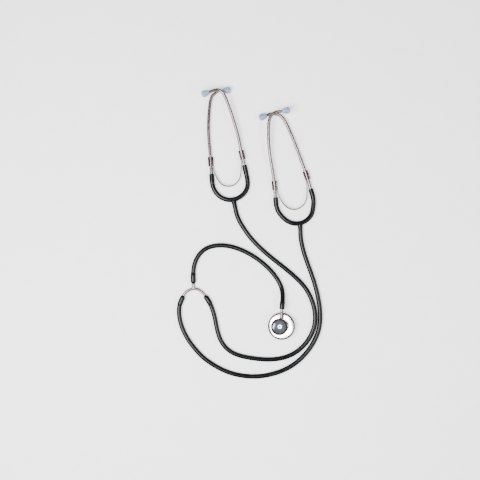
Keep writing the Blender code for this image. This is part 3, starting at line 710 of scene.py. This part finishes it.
TIP_PROFILE = [(1.2, 13.5), (2.2, 14.0), (3.7, 13.6), (5.0, 12.8), (5.9, 11.3), (6.25, 9.4), (6.1, 7.4),
               (5.5, 5.0), (4.6, 2.3), (4.1, 0.0), (2.6, 0.0), (2.6, 7.4), (1.2, 7.9)]


def ear_tip(name, side, route):
    label = f"{name}_{side}"
    end, direction = point_at(route, route[1][-1])
    profile = rounded(rounded(TIP_PROFILE, 0.9), 0.3, steps=2)
    seat = facing(end + direction * NIPPLE_LENGTH, direction)
    tip = turned(label + "_ear_tip_fine", profile, seat, steps=64)
    finish(tip, "tip_plastic", label + "_tip", "tip_plastic", label + "_ear_tip")


def bevelled_copy(node, name, width, segments=3):
    """A CAD node's shape with its flat faces made whole and its edges rounded."""
    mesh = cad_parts[node].data.copy()
    mesh.transform(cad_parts[node].matrix_world)
    shape = bmesh.new()
    shape.from_mesh(mesh)
    bmesh.ops.remove_doubles(shape, verts=shape.verts, dist=1e-6)
    bmesh.ops.dissolve_limit(shape, angle_limit=math.radians(3.0), verts=shape.verts, edges=shape.edges)
    edges = [e for e in shape.edges if len(e.link_faces) == 2 and e.calc_face_angle(0.0) > math.radians(20.0)]
    bmesh.ops.bevel(shape, geom=edges, offset=width * MM, segments=segments, profile=0.5, affect="EDGES",
                    clamp_overlap=True)
    shape.to_mesh(mesh)
    shape.free()
    mesh.shade_smooth()
    mesh.set_sharp_from_angle(angle=math.radians(35.0))
    return new_object(name, mesh)


def bracket(name, side, route, distance, sign):
    label = f"{name}_{side}_spring_bracket"
    piece = bevelled_copy(label, label + "_fine", BRACKET_BEVEL)
    finish(piece, "tube_chrome", f"{name}_{side}_arm", "chrome", label)
    # The outer flange gets a painted dark reflection
    if label in PAINTED_REFLECTION_BRACKETS:
        paint_flange_reflection(piece, route, distance, sign)


def paint_flange_reflection(piece, route, distance, sign):
    """The flange on the side away from the other tube has a painted dark reflection: the dark surroundings
    its chrome would mirror, painted into its colour.
    """
    centre, along = point_at(route, distance)
    across = along.cross(Vector((0.0, 0.0, 1.0))).normalized() * sign
    piece.data.materials.append(MATERIALS["painted_shade_and_reflection_steel"])
    for face in piece.data.polygons:
        if (face.center / MM - centre).dot(across) < -FLANGE_OFFSET:
            face.material_index = 1


def strip_end(route, distance, sign):
    centre, along = point_at(route, distance)
    across = along.cross(Vector((0.0, 0.0, 1.0))).normalized()
    return centre + across * STRIP_OFFSET * sign


def leaning(frames, angles):
    """The same frames, each turned about its own direction."""
    ahead, side, up = frames
    cosine, sine = np.cos(angles)[:, None], np.sin(angles)[:, None]
    return ahead, side * cosine + up * sine, up * cosine - side * sine


def plate_end(piece, end):
    """The strip's end, inside its bracket, has the bracket's finish."""
    piece.data.materials.append(MATERIALS["tube_chrome"])
    for face in piece.data.polygons:
        if (face.center - end).length < SPRING_FOLLOWS * MM:
            face.material_index = 1


def leaf_spring(name, headset, tubes):
    """The bowed strip, in two halves, one towards each ear tube."""
    ends = []
    for side, sign in (("left", 1.0), ("right", -1.0)):
        foot = headset[side]["bracket_at"] + TUBE_INSERTION - BRACKET_LENGTH / 2.0
        ends.append([strip_end(tubes[side], foot + d, sign) for d in (STRIP_REACH, 0.0)])
    first, last = ends[0][0], ends[1][0]
    path = [*ends[0], *(Vector((x, y, 0.0)) for x, y in headset["spring"]), *reversed(ends[1])]
    slope = (last.z - first.z) / (last.x - first.x)
    path = [(p.x, p.y, first.z + (p.x - first.x) * slope) for p in path]
    route = smooth_route(path)
    points = evenly(route, 1.0)
    half = len(points) // 2
    wide, tall = SPRING_THICKNESS / 2.0, SPRING_WIDTH / 2.0
    outline = rounded([(wide, tall), (-wide, tall), (-wide, -tall), (wide, -tall)], 0.25, steps=3)
    frames = path_frames(points)
    run = np.linspace(0.0, route[1][-1], len(points))
    near_end = np.minimum(run, route[1][-1] - run)
    leans = SPRING_LEAN * smoothstep((near_end - STRIP_REACH - 4.0) / 24.0)
    radii = np.ones(len(points))
    halves = [("left", slice(0, half + 1), (True, False)), ("right", slice(half, None), (False, True))]
    for side, span, caps in halves:
        piece = sweep_range(f"{name}_leaf_spring_{side}", points, radii, outline,
                            leaning(frames, leans), span, caps)
        middle = Vector(points[half])
        held = round(SPRING_FOLLOWS * (len(points) - 1) / route[1][-1])
        tip = Vector(points[held] if side == "left" else points[-1 - held])
        node = [name + "_leaf_spring"] if side == "left" else []
        finish_bent(piece, "spring_steel", f"{name}_{side}_arm", middle * MM, tip * MM,
                    "spring_steel", *node)
        plate_end(piece, Vector(points[0] if side == "left" else points[-1]) * MM)


def headsets():
    for name, headset in HEADSETS.items():
        tubes = {side: ear_tube_route(headset[side]) for side in ("left", "right")}
        yoke(name, headset, tubes)
        leaf_spring(name, headset, tubes)
        for side, sign in (("left", 1.0), ("right", -1.0)):
            ear_tube(name, side, tubes[side])
            ear_tip(name, side, tubes[side])
            bracket(name, side, tubes[side], TUBE_INSERTION + headset[side]["bracket_at"], sign)


# ---------------------------------------------------------------- connector

def connector():
    route = smooth_route([(x, y, HOSE_RADIUS) for x, y in BOW_ROUTE])
    path = evenly(route, 0.8)
    start, end = path[0], path[-1]
    # The tube's ends carry on a little way into the hoses
    path = np.vstack([start + (path[0] - path[1]) * 8, path, end + (path[-1] - path[-2]) * 8])
    bow = sweep("connector_bow_fine", path, BOW_RADIUS, circle(TUBE_SIDES))
    finish(bow, "tube_chrome", "root", "chrome", "connector_bow")
    top = CONNECTOR_STEM_TOP + CONNECTOR_INSERTION
    foot = CONNECTOR_STEM_FOOT
    marks = np.linspace(0.0, 1.0, 40)
    line = np.array([(CONNECTOR_STEM_X, top + (foot - top) * m, HOSE_RADIUS) for m in marks])
    flare = np.exp(-(1.0 - marks) * (top - foot) / 1.5)
    scales = np.c_[STEM_RADIUS + BOW_FLARE * flare, STEM_RADIUS - 0.2 * flare]
    stem_piece = sweep("connector_stem_fine", line, scales, circle(TUBE_SIDES))
    finish(stem_piece, "tube_chrome", "root", "chrome", "connector_stem")


# ---------------------------------------------------------------- chest piece

BODY_PROFILE = [(1.1, 6.2), (7.0, 6.2), (9.8, 5.6), (11.0, 4.2), (11.0, -2.6), (11.5, -3.5),
                (13.0, -4.0), (17.0, -4.4), (21.0, -4.9), (21.7, -5.4), (21.7, -6.7),
                (20.2, -6.7), (19.6, -6.2), (12.0, -5.9), (1.1, -5.7)]
BELL_PROFILE = [(13.0, 12.9), (13.5, 12.9), (13.5, 11.4), (12.6, 9.6), (10.6, 7.9), (8.0, 6.9), (5.0, 6.5),
                (1.1, 6.5), (1.1, 7.7), (3.2, 7.9), (5.6, 8.5), (8.0, 9.3), (10.4, 10.4),
                (12.2, 11.6)]
RIM_PROFILE = [(11.4, 14.1), (14.0, 14.2), (14.6, 13.6), (14.6, 11.9), (13.9, 11.7),
               (13.8, 13.2), (11.5, 13.2)]
MEMBRANE_PROFILE = [(0.0, -8.0), (22.6, -8.0), (22.6, -8.4), (0.0, -8.4)]
RING_PROFILE = [(22.1, -5.0), (22.7, -4.7), (23.3, -4.9), (23.8, -5.5), (24.0, -6.3), (24.0, -8.5),
                (23.5, -9.0), (20.6, -9.0), (20.6, -8.7), (22.9, -8.7), (22.9, -6.8), (22.1, -6.4)]
STEM_PROFILE = [(1.5, 35.0), (2.2, 35.0), (2.6, 34.4), (2.6, 24.6), (2.9, 24.4), (2.9, 24.0), (1.5, 24.0)]
NUT_PROFILE = [(2.5, 23.7), (3.1, 23.7), (3.4, 23.2), (3.4, 12.0), (3.2, 11.6), (2.9, 11.6),
               (2.9, 10.1), (2.5, 10.1)]


DRILLED = ("head_body", "bell_cup")


def paint_bore_shade(piece):
    """The drilled sound hole's walls are dark: partly their own dull unpolished metal, partly painted shade
    inside the hole.
    """
    piece.data.materials.append(MATERIALS["painted_shade_and_reflection_steel"])
    for face in piece.data.polygons:
        if math.hypot(face.center.x, face.center.y) < BORE_LIMIT * MM:
            face.material_index = 1


def chest_piece():
    head = head_frame()
    along_stem = head @ Matrix.Rotation(-math.pi / 2.0, 4, "X")
    pieces = [
        ("head_body", BODY_PROFILE, 0.5, head, True, "head_chrome", "chest_head", "chrome"),
        ("bell_cup", BELL_PROFILE, 0.6, head, True, "bell_chrome", "chest_head", "chrome"),
        ("bell_rim", RIM_PROFILE, 0.25, head, True, "rim_metal", "chest_head", "rim_metal"),
        ("diaphragm", MEMBRANE_PROFILE, 0.1, head, False, "membrane", "chest_head", "membrane"),
        ("diaphragm_ring", RING_PROFILE, 0.5, head, True, "ring_chrome", "chest_head", "chrome"),
        ("gland_nut", NUT_PROFILE, 0.2, along_stem, True, "tube_chrome", "chest_head", "chrome"),
        ("chest_stem", STEM_PROFILE, 0.2, along_stem, True, "tube_chrome", "root", "chrome"),
    ]
    for node, profile, radius, matrix, closed, material, body, slot in pieces:
        smooth = rounded(profile, radius, closed)
        piece = turned(node + "_fine", smooth, matrix, closed)
        finish(piece, material, body, slot, node)
        # The sound hole's walls get painted shade
        if node in DRILLED:
            paint_bore_shade(piece)


def kept_nodes():
    """CAD nodes whose shape is right get a better material."""
    kept = {"valve_spindle": "brass", "detent_ball": "spring_steel", "detent_spring": "spring_steel",
            "detent_screw": "spring_steel", "diaphragm_gasket": "gasket"}
    for name in HEADSETS:
        for side in ("left", "right"):
            kept[f"{name}_{side}_tip_nipple"] = "tube_chrome"
    for node, material in kept.items():
        kept_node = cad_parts[node]
        for slot in kept_node.material_slots:
            slot.material = MATERIALS[material]


# ---------------------------------------------------------------- stage

def softbox(name, place_at, target, size, power, colour=(1.0, 1.0, 1.0)):
    lamp = bpy.data.lights.new(name, "AREA")
    lamp.shape = "RECTANGLE"
    lamp.size, lamp.size_y = size
    lamp.energy = power
    lamp.color = colour
    made = bpy.data.objects.new(name, lamp)
    bpy.context.scene.collection.objects.link(made)
    made.location = place_at
    aim = Vector(target) - Vector(place_at)
    made.rotation_euler = aim.to_track_quat("-Z", "Y").to_euler()


def stage():
    mesh = bpy.data.meshes.new("floor")
    shape = bmesh.new()
    bmesh.ops.create_grid(shape, x_segments=2, y_segments=2, size=2.5)
    shape.to_mesh(mesh)
    shape.free()
    floor = new_object("floor", mesh)
    floor.data.materials.append(MATERIALS["floor"])
    floor.location = (0.0, 0.0, -0.0003)
    softbox("key_softbox", (-0.49, -0.28, 1.25), (0.05, -0.15, 0.0), (0.76, 0.76), 46.0)
    softbox("side_softbox", (0.86, -0.42, 1.15), (0.05, -0.18, 0.0), (1.2, 0.45), 13.0)
    world = bpy.data.worlds.new("studio")
    bpy.context.scene.world = world
    world.use_nodes = True
    background = world.node_tree.nodes["Background"]
    background.inputs["Color"].default_value = (0.92, 0.95, 1.0, 1.0)
    background.inputs["Strength"].default_value = 0.4


make_camera()
hoses()
headsets()
connector()
chest_piece()
kept_nodes()
stage()
